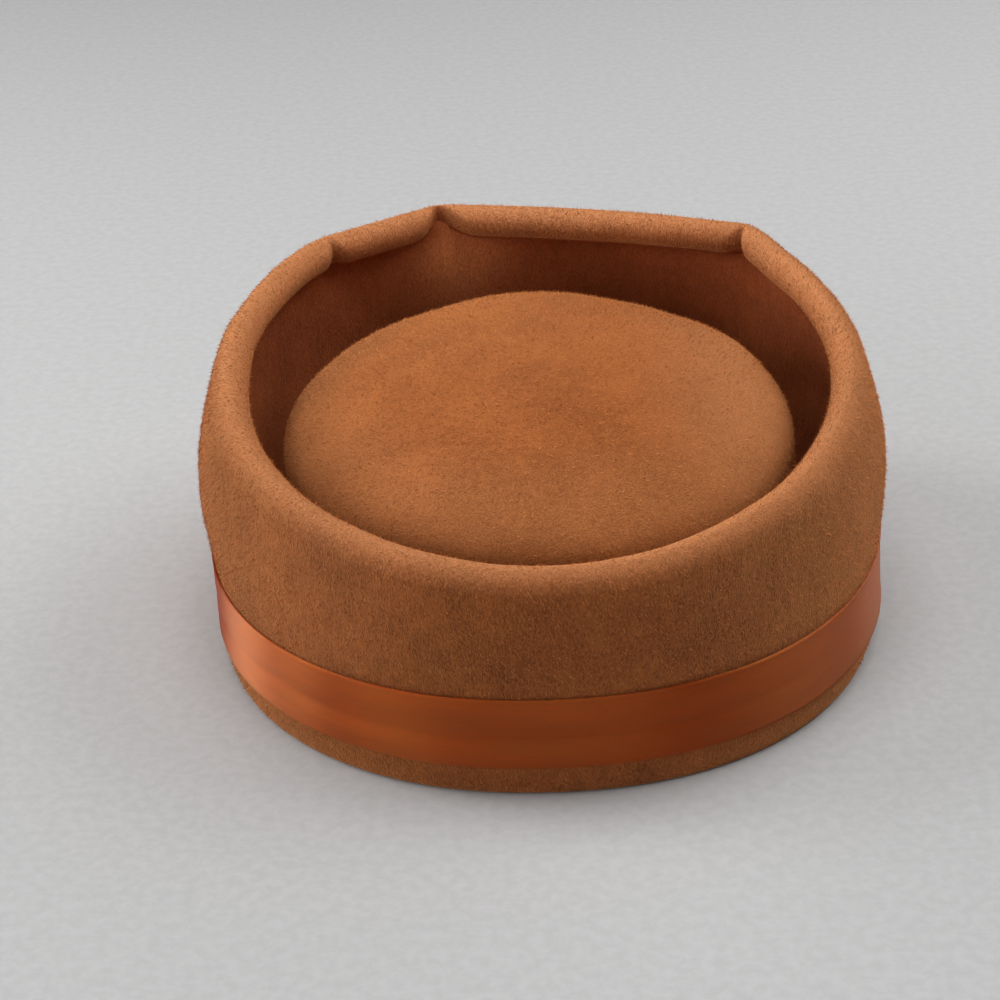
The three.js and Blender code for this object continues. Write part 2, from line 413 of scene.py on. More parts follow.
# Each hair keeps two numbers of its own, its tone and its shade, for its map
own_seed = hairs_in.outputs["Seed"]
low_dye, high_dye = ((limit, limit, 0) for limit in DYE_RANGE)
tone_shade = random_value(hairs, "FLOAT_VECTOR", low_dye, high_dye, own_seed)
own_dye = geometry_node(hairs, "GeometryNodeCaptureAttribute", domain="POINT")
own_dye.capture_items.new("VECTOR", "Dye")
link(hairs, scatter.outputs["Points"], own_dye.inputs["Geometry"])
link(hairs, tone_shade, own_dye.inputs["Dye"])

# Its foot is sunk in the felt, and it leans the way it is brushed, more or less
sunk = geometry_node(hairs, "GeometryNodeSetPosition")
link(hairs, own_dye.outputs["Geometry"], sunk.inputs["Geometry"])
into_felt = vector_node(hairs, "MULTIPLY", scatter.outputs["Normal"], (-HAIR_SUNK,) * 3)
link(hairs, into_felt, sunk.inputs["Offset"])
brushed = kept_value(hairs, "comb", "FLOAT_VECTOR")
brushed = vector_node(hairs, "SCALE", brushed, hairs_in.outputs["Lay"])
loose = random_value(hairs, "FLOAT_VECTOR", (-1, -1, -1), (1, 1, 1), own_seed)
loose = vector_node(hairs, "SCALE", loose, hairs_in.outputs["Stray"])
stood = vector_node(hairs, "SCALE", scatter.outputs["Normal"], hairs_in.outputs["Stand"])
lean = vector_node(hairs, "ADD", vector_node(hairs, "ADD", brushed, loose), stood)
aimed = geometry_node(hairs, "FunctionNodeAlignRotationToVector", axis="Z")
link(hairs, lean, aimed.inputs["Vector"])

hair = geometry_node(hairs, "GeometryNodeMeshCone")
hair.inputs["Vertices"].default_value = HAIR_SIDES
hair.inputs["Radius Top"].default_value = 0
hair.inputs["Radius Bottom"].default_value = 0.5
hair.inputs["Depth"].default_value = 1
own_place = geometry_node(hairs, "GeometryNodeCaptureAttribute", domain="POINT")
own_place.capture_items.new("VECTOR", "Along")
link(hairs, hair.outputs["Mesh"], own_place.inputs["Geometry"])
hair_point = geometry_node(hairs, "GeometryNodeInputPosition")
link(hairs, hair_point.outputs[0], own_place.inputs["Along"])
size = geometry_node(hairs, "ShaderNodeCombineXYZ")
link(hairs, hairs_in.outputs["Hair width"], size.inputs[0])
link(hairs, hairs_in.outputs["Hair width"], size.inputs[1])
grown = random_value(hairs, "FLOAT", *HAIR_GROWTH, own_seed)
grown = math_node(hairs, "MULTIPLY", grown, hairs_in.outputs["Hair length"])
link(hairs, grown, size.inputs[2])
planted = geometry_node(hairs, "GeometryNodeInstanceOnPoints")
link(hairs, sunk.outputs["Geometry"], planted.inputs["Points"])
link(hairs, own_place.outputs["Geometry"], planted.inputs["Instance"])
link(hairs, aimed.outputs["Rotation"], planted.inputs["Rotation"])
link(hairs, size.outputs[0], planted.inputs["Scale"])
real = geometry_node(hairs, "GeometryNodeRealizeInstances")
link(hairs, planted.outputs["Instances"], real.inputs["Geometry"])

# The map sets every hair down at its tone and shade, so that like hairs share one spot
spot = vector_node(hairs, "MULTIPLY", own_place.outputs["Along"], (DYE_SPOT,) * 3)
turned = geometry_node(hairs, "ShaderNodeSeparateXYZ")
link(hairs, spot, turned.inputs[0])
flat_spot = geometry_node(hairs, "ShaderNodeCombineXYZ")
link(hairs, turned.outputs[0], flat_spot.inputs[0])
laid_flat = math_node(hairs, "ADD", turned.outputs[1], turned.outputs[2])
link(hairs, laid_flat, flat_spot.inputs[1])
fur_map = geometry_node(
    hairs, "GeometryNodeStoreNamedAttribute", data_type="FLOAT2", domain="CORNER"
)
fur_map.inputs["Name"].default_value = "OFBake"
link(hairs, real.outputs["Geometry"], fur_map.inputs["Geometry"])
own_spot = vector_node(hairs, "ADD", own_dye.outputs["Dye"], flat_spot.outputs[0])
link(hairs, own_spot, fur_map.inputs["Value"])
finish_fur = geometry_node(hairs, "GeometryNodeSetMaterial")
link(hairs, fur_map.outputs["Geometry"], finish_fur.inputs["Geometry"])
link(hairs, hairs_in.outputs["Fur"], finish_fur.inputs["Material"])
link(hairs, finish_fur.outputs["Geometry"], hairs_out.inputs["Nap"])

# How much rarer pale hairs are than dark ones, and how far a hair's shade may vary
PALE_IS_RARE = 1.6
LEAST_SHADE, SHADE_SPAN = 0.75, 0.5


def fur_material(name, dark, pale):
    """Hairs from dark to pale, each with its own brightness."""
    material = bpy.data.materials.new(name)
    material.use_nodes = True
    tree = material.node_tree
    shader = tree.nodes["Principled BSDF"]
    own_map = tree.nodes.new("ShaderNodeUVMap")
    own_map.uv_map = "OFBake"
    apart = tree.nodes.new("ShaderNodeSeparateXYZ")
    link(tree, own_map.outputs[0], apart.inputs[0])
    bright_few = math_node(tree, "POWER", apart.outputs[0], PALE_IS_RARE)
    tone = mix_colour(tree, bright_few, dark, pale)
    shade = math_node(tree, "MULTIPLY_ADD", apart.outputs[1], SHADE_SPAN, LEAST_SHADE)
    scaled = vector_node(tree, "SCALE", tone, shade)
    link(tree, scaled, shader.inputs["Base Color"])
    shader.inputs["Roughness"].default_value = 0.8
    shader.inputs["Specular IOR Level"].default_value = 0.05
    return material


def grow_nap(
    name, felt_piece, slot_name, share, comb,
    per_area, length, width, lay, stand, stray, seed, fur_finish,
):
    bed = felt_piece.copy()
    bed.data = felt_piece.data.copy()
    bpy.context.scene.collection.objects.link(bed)
    keep_on_points(bed, "nap", share)
    keep_on_points(bed, "comb", comb)
    growth = bed.modifiers.new("nap", "NODES")
    growth.node_group = hairs
    values = {
        "Hairs per square metre": per_area,
        "Hair length": length,
        "Hair width": width,
        "Lay": lay,
        "Stand": stand,
        "Stray": stray,
        "Seed": seed,
        "Fur": fur_finish,
    }
    for item in hairs.interface.items_tree:
        if item.name in values:
            growth[item.identifier] = values[item.name]
    evaluated = bed.evaluated_get(bpy.context.evaluated_depsgraph_get())
    grown_mesh = bpy.data.meshes.new_from_object(evaluated)
    grown_mesh.name = name
    bpy.data.objects.remove(bed)
    piece = bpy.data.objects.new(name, grown_mesh)
    bpy.context.scene.collection.objects.link(piece)
    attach(piece, "root")


def brushing(grid, outer_columns):
    """The way down the outer face and down the inner one, for a section that climbs outside."""
    way = np.gradient(grid, axis=1)
    way /= np.maximum(np.linalg.norm(way, axis=-1, keepdims=True), 1e-9)
    way[:, :outer_columns] *= -1
    return way.reshape(-1, 3)


# A paler fur colour round the dome's edge is painted sheen, and more of it on the right slope is
# painted light, standing in for the light on that side. Each band says from where
# to where this comes in: by height, by distance from the axis, and to the right of it.
DOME_BAND, EDGE_BAND, RIGHT_BAND = (0.060, 0.075), (0.050, 0.088), (0.020, 0.075)
EDGE_PAINTED_SHEEN, RIGHT_PAINTED_LIGHT = 0.5, 0.8

crown_points = np.array([v.co for v in crown.data.vertices])
on_dome = smooth_between(*DOME_BAND, crown_points[:, 2])
from_axis = np.hypot(crown_points[:, 0] - axis_x, crown_points[:, 1] - axis_y)
painted_edge_sheen = EDGE_PAINTED_SHEEN * smooth_between(*EDGE_BAND, from_axis)
painted_right_light = RIGHT_PAINTED_LIGHT * smooth_between(*RIGHT_BAND, crown_points[:, 0] - axis_x)
keep_on_points(crown, "painted_light", np.maximum(painted_right_light, painted_edge_sheen) * on_dome)

# Its paler fur colour stands in for light: painted sheen round the dome's edge and painted light on
# its right slope
crown.data.materials.append(
    felt_material(
        "crown_velour",
        tips=(0.53, 0.158, 0.038, 1),
        roots=(0.19, 0.045, 0.009, 1),
        painted_light_fur=(0.60, 0.245, 0.095, 1),
        nap_length=0.8,
        relief=0.7,
        bloom=0.55,
    )
)
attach(crown, "root")
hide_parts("crown")

# The crown's nap is brushed from the middle of the dome outwards. It starts up the side, out of
# the deep of the groove.
CROWN_NAP_BAND = (0.035, 0.05)

crown_fur = fur_material("crown_fur", (0.29, 0.078, 0.017, 1), (0.92, 0.37, 0.118, 1))
crown_comb = -brushing(crown_grid, crown_outer.shape[1])
crown_comb = np.concatenate([crown_comb, [[0, 0, 1], [0, 0, -1]]])
outer_side = np.arange(crown_grid.shape[1]) < crown_outer.shape[1]
outer_side = outer_side * smooth_between(*CROWN_NAP_BAND, crown_grid[..., 2])
grow_nap(
    "crown_nap",
    crown,
    "felt",
    share=np.concatenate([outer_side.ravel(), [1, 0]]),
    comb=crown_comb,
    per_area=1.12e6,
    length=0.0013,
    width=0.00022,
    lay=0.9,
    stand=0.4,
    stray=1.0,
    seed=11,
    fur_finish=crown_fur,
)


# ---------------------------------------------------------------------------------------------
# Brim
# A wide ring of the same felt, 2.8 mm thick, sewn to the foot of the crown, folded straight up
# round it, and rolled in at its edge. Three darts pinch the rolled edge into corners at the back.
# ---------------------------------------------------------------------------------------------

BRIM_FELT = 0.0028
SEAM_GAP = 0.0003
# The wall's outline from above, from its foot up to the rolled edge
FOOT_OVAL = {"left": 0.1105, "right": 0.1110, "front": 0.1160, "back": 0.1140, "square": 2.15}
RIBBON_LOW_OVAL = {"left": 0.1110, "right": 0.1120, "front": 0.1150, "back": 0.1170, "square": 2.15}
RIBBON_TOP_OVAL = {"left": 0.1110, "right": 0.1110, "front": 0.1160, "back": 0.1190, "square": 2.15}
BULGE_OVAL = {"left": 0.1140, "right": 0.1135, "front": 0.1170, "back": 0.1210, "square": 2.0}
RIM_OVAL = {"left": 0.1075, "right": 0.1070, "front": 0.1170, "back": 0.1230, "square": 2.0}
# Heights. The wall bulges most at a share of its rise above the ribbon, and the rolled edge's
# height is given at every eighth of a turn, from the right side by the back.
FOOT_RADIUS = 0.0025
RIBBON_FOOT = 0.010
RIBBON_TOP = 0.035
BULGE_RISE = 0.35
RIM_HEIGHTS = [0.0875, 0.0950, 0.0965, 0.0940, 0.0900, 0.0775, 0.0710, 0.0765]
# The roll, which ends after so many degrees, and how far its cut edge stands round
ROLL_RADIUS = 0.0060
ROLL_END = 285
CUT_EDGE_ROUND = 0.3
# The steps of each part of the section, and how far and how often its kinks are eased out
BRIM_STEPS = {"floor": 9, "foot": 8, "low": 4, "band": 12, "wall": 24, "roll": 32}
EASE_ROUNDS = 14
EASE_FROM, EASE_INTO_ROLL = 4, 8
# The three corners. Each stretch between two of them bows out, a longer one more.
CORNER_TURNS = [48.5, 107, 129.5]
CORNER_REACHES = [0.1195, 0.1245, 0.1235]
CORNER_SPREADS = [8, 8, 22]
FACET_BOW, FACET_SPAN = 0.003, 60
TURN_STEP, CREASE_STEP, CREASE_SPAN = 1.25, 0.25, 5
# The dart at each corner: how much of the roll it presses back, over how many degrees. Its notch
# starts narrow at the roll's top line and widens over so many degrees round the roll.
DART_SQUEEZES = [0.42, 0.92, 0.32]
DART_WIDTHS = [1.4, 3.2, 1.5]
NOTCH_START, NOTCH_OPENS, NOTCH_NARROW = 58, 150, 0.35
NOTCH_TUCK, NOTCH_TUCK_BAND = 0.3, (90, 160)
# The pleat under each dart, at shares of the wall's rise
PLEAT_DEPTHS = [0.0008, 0.0030, 0.0010]
PLEAT_SPREAD = 4.5
PLEAT_RISE, PLEAT_LENGTH, PLEAT_BAND = 0.78, 0.26, (0.1, 0.5)
BRIM_SWELLS = ((0.040, 0.0009, 3), (0.013, 0.0003, 4))
BRIM_CALM = 0.02


def facet_reach(k, turn):
    """Distance to the stretch from corner k to the next one, which bows out in its middle."""
    start, stop = CORNER_TURNS[k], CORNER_TURNS[k + 1]
    before, after = np.radians(turn - start), np.radians(stop - turn)
    sines = CORNER_REACHES[k] * np.sin(before) + CORNER_REACHES[k + 1] * np.sin(after)
    straight = CORNER_REACHES[k] * CORNER_REACHES[k + 1] * np.sin(before + after) / sines
    bow = FACET_BOW * ((stop - start) / FACET_SPAN) ** 2
    return straight + bow * np.sin(np.pi * (turn - start) / (stop - start))


def turns_apart(turn, other):
    """Degrees between two turns, the short way round."""
    return np.abs((turn - other + 180) % 360 - 180)


def rim_reach(turn):
    """Outer reach of the rolled edge, with its corners."""
    reach = oval_reach(RIM_OVAL, turn)
    for k in (0, 2):
        proud = CORNER_REACHES[k] - oval_reach(RIM_OVAL, np.array(CORNER_TURNS[k]))
        outside = reach + proud * bell(turns_apart(turn, CORNER_TURNS[k]), CORNER_SPREADS[k])
        side = turns_apart(turn, CORNER_TURNS[k]) <= turns_apart(turn, CORNER_TURNS[2 - k])
        reach = np.where(side, outside, reach)
    for k in (0, 1):
        inside = (turn >= CORNER_TURNS[k]) & (turn <= CORNER_TURNS[k + 1])
        reach = np.where(inside, facet_reach(k, turn), reach)
    return reach


def rim_height(turn):
    """Height of the rolled edge, on a smooth closed curve through the table's heights."""
    heights = np.array(RIM_HEIGHTS)
    count = len(heights)
    step = 360 / count
    row = np.floor(turn / step).astype(int)
    t = turn / step - row
    at = lambda k: heights[k % count]
    slope = lambda k: (at(k + 1) - at(k - 1)) / 2
    rise = at(row + 1) - at(row)
    cubic = slope(row) + slope(row + 1) - 2 * rise
    square = 3 * rise - 2 * slope(row) - slope(row + 1)
    return ((cubic * t + square) * t + slope(row)) * t + at(row)


def wall_reach(turn, rise):
    """Outer reach at a share of the rise from the ribbon's top edge to the rolled edge."""
    low = (rise - BULGE_RISE) * (rise - 1) / BULGE_RISE
    middle = rise * (1 - rise) / (BULGE_RISE * (1 - BULGE_RISE))
    high = 1 - low - middle
    below_rim = low * oval_reach(RIBBON_TOP_OVAL, turn) + middle * oval_reach(BULGE_OVAL, turn)
    return below_rim + high * rim_reach(turn)


# Even turns, with finer ones by the corners, where the felt is creased
even = np.arange(0, 360, TURN_STEP)
near_corner = [
    np.arange(c - CREASE_SPAN, c + CREASE_SPAN + 0.01, CREASE_STEP) for c in CORNER_TURNS
]
far = np.min([turns_apart(even, c) for c in CORNER_TURNS], axis=0) > CREASE_SPAN + 0.1
brim_turns = np.unique(np.concatenate([even[far], *near_corner]) % 360)
around = brim_turns[:, None]


def part_steps(part):
    """Shares from 0 to 1 along a part of the section, without the first."""
    return np.linspace(0, 1, BRIM_STEPS[part] + 1)[None, 1:]


def section_part(reach, height):
    """A part of the section, as [reach, height] at each turn."""
    return np.stack(np.broadcast_arrays(reach, height), -1)


# The outer face: out along the floor, up the wall and round the roll
foot = oval_reach(FOOT_OVAL, around)
seam = oval_reach(CROWN_OVAL, around) + SEAM_GAP
band_foot = oval_reach(RIBBON_LOW_OVAL, around)
band_top = oval_reach(RIBBON_TOP_OVAL, around)
rim, rim_top = rim_reach(around), rim_height(around)
share = np.linspace(0, 1, BRIM_STEPS["floor"] + 1)[None, :-1]
floor_part = section_part(seam + (foot - FOOT_RADIUS - seam) * share, 0 * around)
bend = np.radians(np.linspace(0, 90, BRIM_STEPS["foot"]))[None, :]
foot_part = section_part(
    foot - FOOT_RADIUS * (1 - np.sin(bend)), FOOT_RADIUS * (1 - np.cos(bend))
)
share = part_steps("low")
low_part = section_part(
    foot + (band_foot - foot) * share, FOOT_RADIUS + (RIBBON_FOOT - FOOT_RADIUS) * share
)
share = part_steps("band")
band_part = section_part(
    band_foot * (1 - share) + band_top * share,
    RIBBON_FOOT + (RIBBON_TOP - RIBBON_FOOT) * share,
)
share = part_steps("wall")
wall_part = section_part(
    wall_reach(around, share), RIBBON_TOP + (rim_top - RIBBON_TOP) * share
)
roll_bend = np.linspace(0, ROLL_END, BRIM_STEPS["roll"] + 1)[None, 1:]
roll_part = section_part(
    rim - ROLL_RADIUS + ROLL_RADIUS * np.cos(np.radians(roll_bend)),
    rim_top + ROLL_RADIUS * np.sin(np.radians(roll_bend)),
)
below_roll = [floor_part, foot_part, low_part, band_part, wall_part]
outer = np.concatenate([*below_roll, roll_part], axis=1)
on_roll = sum(part.shape[1] for part in below_roll)

# The felt bends softly: kinks in the wall and at the start of the roll are eased out
first, last = floor_part.shape[1] + EASE_FROM, on_roll + EASE_INTO_ROLL
for _ in range(EASE_ROUNDS):
    beside = outer[:, first - 1:last - 1] + outer[:, first + 1:last + 1]
    outer[:, first:last] = 0.5 * outer[:, first:last] + 0.25 * beside

# The inner face lies one felt's thickness inside it
along = np.gradient(outer, axis=1)
along /= np.linalg.norm(along, axis=-1, keepdims=True)
inward = np.stack([-along[..., 1], along[..., 0]], -1)
inner = outer + inward * BRIM_FELT
edge = outer[:, -1] + inward[:, -1] * BRIM_FELT / 2 + along[:, -1] * BRIM_FELT * CUT_EDGE_ROUND
section = np.concatenate([outer, edge[:, None], inner[:, ::-1]], axis=1)

# Each dart presses the roll back against the wall at its corner, below the roll's top line, which
# leaves a soft notch that widens downwards, and pushes the wall in under it as a pleat
brim_columns = section.shape[1]
outer_count = outer.shape[1]
bend_of = np.zeros(brim_columns)
bend_of[on_roll:outer_count] = roll_bend[0]
bend_of[outer_count] = ROLL_END
bend_of[outer_count + 1:] = bend_of[:outer_count][::-1]
top_line = section[:, [np.argmin(np.abs(bend_of[:outer_count] - NOTCH_START))]]
up_the_wall = (section[..., 1] - RIBBON_TOP) / (rim_top - RIBBON_TOP)
flat_wall = (bend_of < 1)[None, :] * smooth_between(*PLEAT_BAND, up_the_wall)
tuck = NOTCH_TUCK * smooth_between(*NOTCH_TUCK_BAND, bend_of)
pleats = np.zeros(section.shape[:2])
for turn, squeeze, width, pleat in zip(CORNER_TURNS, DART_SQUEEZES, DART_WIDTHS, PLEAT_DEPTHS):
    opening = np.clip((bend_of - NOTCH_START) / NOTCH_OPENS, NOTCH_NARROW, 1)[None, :]
    notch = squeeze * bell(turns_apart(around, turn), width * opening) * (bend_of > 0)[None, :]
    past_top = section - top_line
    section[..., 0] -= notch * np.minimum(past_top[..., 0], 0)
    section[..., 1] -= notch * np.maximum(past_top[..., 1], 0)
    section[..., 1] -= tuck * notch * np.minimum(past_top[..., 1], 0)
    pleat = pleat * bell(turns_apart(around, turn), PLEAT_SPREAD)
    pleats += pleat * bell(up_the_wall - PLEAT_RISE, PLEAT_LENGTH) * flat_wall
section[..., 0] -= pleats
brim_grid = place(around, section[..., 0], section[..., 1])

# Faint swells from hand steaming
swell = sum(handmade(brim_grid, *layer) for layer in BRIM_SWELLS)
calm = smooth_between(RIBBON_TOP, RIBBON_TOP + BRIM_CALM, brim_grid[..., 2])
outward = brim_grid - np.array([axis_x, axis_y, 0])
outward[..., 2] = 0
outward /= np.linalg.norm(outward, axis=-1, keepdims=True)
brim_grid += outward * (swell * calm)[..., None]

brim = loft("brim_felt", brim_grid, ring=True)

# A paler fur colour along the top of the roll, most at the back, is a painted highlight, and a pale
# patch on the inner face beside the middle corner is a painted pool of light, where light falls
# through the dart's notch. Bends are in degrees round the roll, from the wall's outer face.
BACK_BAND = (-0.2, 0.6)
CREST_BEND, CREST_BEND_BACK, CREST_SPREAD = 92, 22, 64
FRONT_PAINTED_HIGHLIGHT, BACK_PAINTED_HIGHLIGHT_MORE = 0.78, 0.22
NOTCH_LIGHT_PATCH = {"turn": CORNER_TURNS[1] - 3, "turn_spread": 8, "rise": 0.70, "rise_spread": 0.30}
# The bend round the roll past which the felt is its shaded copy: painted shade
SHADED_COPY_BEND = 215

outside = np.arange(brim_columns) < outer_count
on_outer_roll = (outside * (bend_of > 0))[None, :]
at_back = smooth_between(*BACK_BAND, np.sin(np.radians(around)))
crest_bend = CREST_BEND + CREST_BEND_BACK * at_back
painted_highlight = bell(bend_of[None, :] - crest_bend, CREST_SPREAD) * on_outer_roll
painted_highlight = (FRONT_PAINTED_HIGHLIGHT + BACK_PAINTED_HIGHLIGHT_MORE * at_back) * painted_highlight
notch_light = bell(turns_apart(around, NOTCH_LIGHT_PATCH["turn"]), NOTCH_LIGHT_PATCH["turn_spread"])
notch_light = notch_light * bell(up_the_wall - NOTCH_LIGHT_PATCH["rise"], NOTCH_LIGHT_PATCH["rise_spread"])
notch_light = notch_light * (np.arange(brim_columns) > outer_count)
keep_on_points(brim, "painted_light", np.maximum(painted_highlight, notch_light).ravel())

# The brim's paler fur colour is the painted highlight along the top of the roll
brim.data.materials.append(
    felt_material(
        "brim_velour",
        tips=(0.46, 0.134, 0.036, 1),
        roots=(0.13, 0.033, 0.009, 1),
        painted_light_fur=(0.74, 0.295, 0.118, 1),
        nap_length=0.35,
        relief=0.8,
        bloom=1.0,
    )
)
# A shaded copy of the felt for the underside of the roll and the inside: painted shade. Its paler
# fur colour is the painted pool of light beside the middle corner.
brim.data.materials.append(
    felt_material(
        "shaded_inner_velour",
        tips=(0.48, 0.122, 0.038, 1),
        roots=(0.21, 0.048, 0.015, 1),
        painted_light_fur=(0.85, 0.31, 0.11, 1),
        nap_length=0.35,
        relief=0.6,
        bloom=0.12,
    )
)
# The second finish is a shaded copy of the felt, with little sheen and its own colours, for painted
# shade: it starts under the roll and runs down inside
first_shaded = int(np.argmax(bend_of > SHADED_COPY_BEND))
face_column = np.array([f.vertices[0] % brim_columns for f in brim.data.polygons])
brim.data.polygons.foreach_set("material_index", (face_column >= first_shaded).astype(np.int32))
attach(brim, "root")
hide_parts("brim")

# The brim's nap is brushed down the wall, outside and in, and hangs over the ribbon's top edge.
# Below the ribbon it is thinner, and it stays clear of the floor.
NAP_ABOVE_RIBBON = (0.0002, 0.0012)
NAP_BELOW_RIBBON = (0.003, 0.001)
LOW_NAP_SHARE, LOWEST_HAIR = 0.7, 0.0018
# Bends round the roll past which the nap is the darker inner hairs: painted shade
SHADED_NAP_BENDS = (165, 225)
INNER_NAP_BAND = (0.02, 0.035)
# How far the painted pool of light is bare of hairs, so the pale felt shows there
NOTCH_LIGHT_BARE = 0.8

brim_fur = fur_material("brim_fur", (0.29, 0.080, 0.023, 1), (0.90, 0.355, 0.122, 1))
brim_comb = brushing(brim_grid, outer_count)
level = brim_grid[..., 2]
on_wall = smooth_between(*(RIBBON_TOP + step for step in NAP_ABOVE_RIBBON), level)
below_ribbon = 1 - smooth_between(*(RIBBON_FOOT - step for step in NAP_BELOW_RIBBON), level)
into_shaded_nap = smooth_between(*SHADED_NAP_BENDS, bend_of)
on_outside = outside * np.maximum(on_wall, LOW_NAP_SHARE * below_ribbon) * (1 - into_shaded_nap)
on_outside *= level > LOWEST_HAIR
on_inside = outside * into_shaded_nap + ~outside * smooth_between(*INNER_NAP_BAND, level)
# Fewer hairs in the painted pool of light beside the middle corner
on_inside = np.clip(on_inside, 0, 1) * (1 - NOTCH_LIGHT_BARE * notch_light)
at_right = brim_grid[..., 0] > axis_x
# Darker hairs than outside, for the underside of the roll and the inside: painted shade
shaded_inner_fur = fur_material("shaded_inner_fur", (0.24, 0.064, 0.020, 1), (0.62, 0.20, 0.064, 1))
outer_nap = {"per_area": 1.8e6, "length": 0.0014, "width": 0.00022, "fur_finish": brim_fur}
inner_nap = {"per_area": 0.45e6, "length": 0.0013, "width": 0.00020, "fur_finish": shaded_inner_fur}
for side, share, nap, seed in (
    ("right", on_outside * at_right, outer_nap, 21),
    ("left", on_outside * ~at_right, outer_nap, 22),
    ("inner", on_inside, inner_nap, 23),
):
    grow_nap(
        "brim_nap_" + side,
        brim,
        "felt",
        share=share.ravel(),
        comb=brim_comb,
        lay=0.9,
        stand=0.28,
        stray=0.9,
        seed=seed,
        **nap,
    )


# ---------------------------------------------------------------------------------------------
# Ribbon
# A band of satin ribbon, 25 mm wide, pulled tight round the foot of the brim and stitched there.
# It has a firm woven edge along each side, a soft crease along its middle, and laps at the back.
# ---------------------------------------------------------------------------------------------

RIBBON_THICKNESS = 0.0006
RIBBON_CLEAR = 0.0003
RIBBON_START = 96
RIBBON_LAP = 0.014
RIBBON_STEPS = 400
RIBBON_ACROSS = 22
EDGE_BEAD, EDGE_BEAD_SPREAD = 0.0003, 0.02
CREASE_AT, PUFF = 0.46, 0.0011
PUFF_TURN, PUFF_SPREAD = 255, 50

lap_turn = math.degrees(RIBBON_LAP / RIBBON_TOP_OVAL["back"])
ribbon_along = np.linspace(0, 360 + lap_turn, RIBBON_STEPS + 1)[:, None]
ribbon_turn = (RIBBON_START + ribbon_along) % 360
climb = smooth_between(360 - 2 * lap_turn, 360, ribbon_along)
across = np.linspace(0, 1, RIBBON_ACROSS + 1)[None, :]
clear = RIBBON_CLEAR + climb * (RIBBON_THICKNESS + RIBBON_CLEAR)
low_reach = oval_reach(RIBBON_LOW_OVAL, ribbon_turn)
high_reach = oval_reach(RIBBON_TOP_OVAL, ribbon_turn)
band_reach = low_reach * (1 - across) + high_reach * across
front_share = bell(turns_apart(ribbon_turn, PUFF_TURN), PUFF_SPREAD)
lobe = np.where(across < CREASE_AT, across / CREASE_AT, (1 - across) / (1 - CREASE_AT))
puff = PUFF * front_share * np.sin(np.pi * np.clip(lobe, 0, 1))
edge_bead = EDGE_BEAD * (bell(across, EDGE_BEAD_SPREAD) + bell(1 - across, EDGE_BEAD_SPREAD))
face_reach = band_reach + clear + RIBBON_THICKNESS + puff + edge_bead
back_reach = band_reach + clear + puff
ribbon_height = RIBBON_FOOT + (RIBBON_TOP - RIBBON_FOOT) * across + 0 * ribbon_turn
face_points = place(ribbon_turn, face_reach, ribbon_height)
back_points = place(ribbon_turn, back_reach, ribbon_height)
ribbon_grid = np.concatenate([face_points, back_points[:, ::-1]], axis=1)

ribbon_mesh = bpy.data.meshes.new("satin_ribbon")
ribbon_rows, ribbon_columns = ribbon_grid.shape[:2]
ribbon_faces = []
for r in range(ribbon_rows - 1):
    here, beyond = r * ribbon_columns, (r + 1) * ribbon_columns
    for c in range(ribbon_columns):
        up = (c + 1) % ribbon_columns
        ribbon_faces.append((here + c, beyond + c, beyond + up, here + up))
# Each end is closed, face to back
for r, at_lap in ((0, False), (ribbon_rows - 1, True)):
    here, far_side = r * ribbon_columns, (r + 1) * ribbon_columns - 1
    for c in range(ribbon_columns // 2 - 1):
        a, b, far_b, far_a = here + c, here + c + 1, far_side - c - 1, far_side - c
        ribbon_faces.append((a, far_a, far_b, b) if at_lap else (a, b, far_b, far_a))
ribbon_mesh.from_pydata([tuple(p) for p in ribbon_grid.reshape(-1, 3)], [], ribbon_faces)
ribbon_mesh.update()

# The weave's own map: metres along the ribbon, and metres across it
ribbon_map = ribbon_mesh.uv_layers.new(name="weave")
step_lengths = np.linalg.norm(np.diff(face_points[:, 0], axis=0), axis=1)
length_at = np.concatenate([[0], np.cumsum(step_lengths)])
width_at = (RIBBON_TOP - RIBBON_FOOT) * np.concatenate([across[0], across[0][::-1]])
corner_vertex = np.empty(len(ribbon_mesh.loops), int)
ribbon_mesh.loops.foreach_get("vertex_index", corner_vertex)
corner_row, corner_column = np.divmod(corner_vertex, ribbon_columns)
weave_place = np.stack([length_at[corner_row], width_at[corner_column]], -1)
ribbon_map.uv.foreach_set("vector", weave_place.astype(np.float32).ravel())
ribbon_mesh.shade_smooth()
ribbon = bpy.data.objects.new("satin_ribbon", ribbon_mesh)
bpy.context.scene.collection.objects.link(ribbon)

# Satin threads float along the ribbon, over slubs and slow waves in the dye. Each pattern is in
# waves a metre, along and across.
FLOAT_WAVES, SLUB_WAVES, DYE_WAVES = (500, 6000, 1), (60, 900, 1), (22, 90, 1)
THREAD_DYED, SLUB_DYED, WAVE_DYED = 0.35, 0.35, 0.3
SATIN_ROUGHNESS, SLUB_ROUGHER = 0.42, 0.08

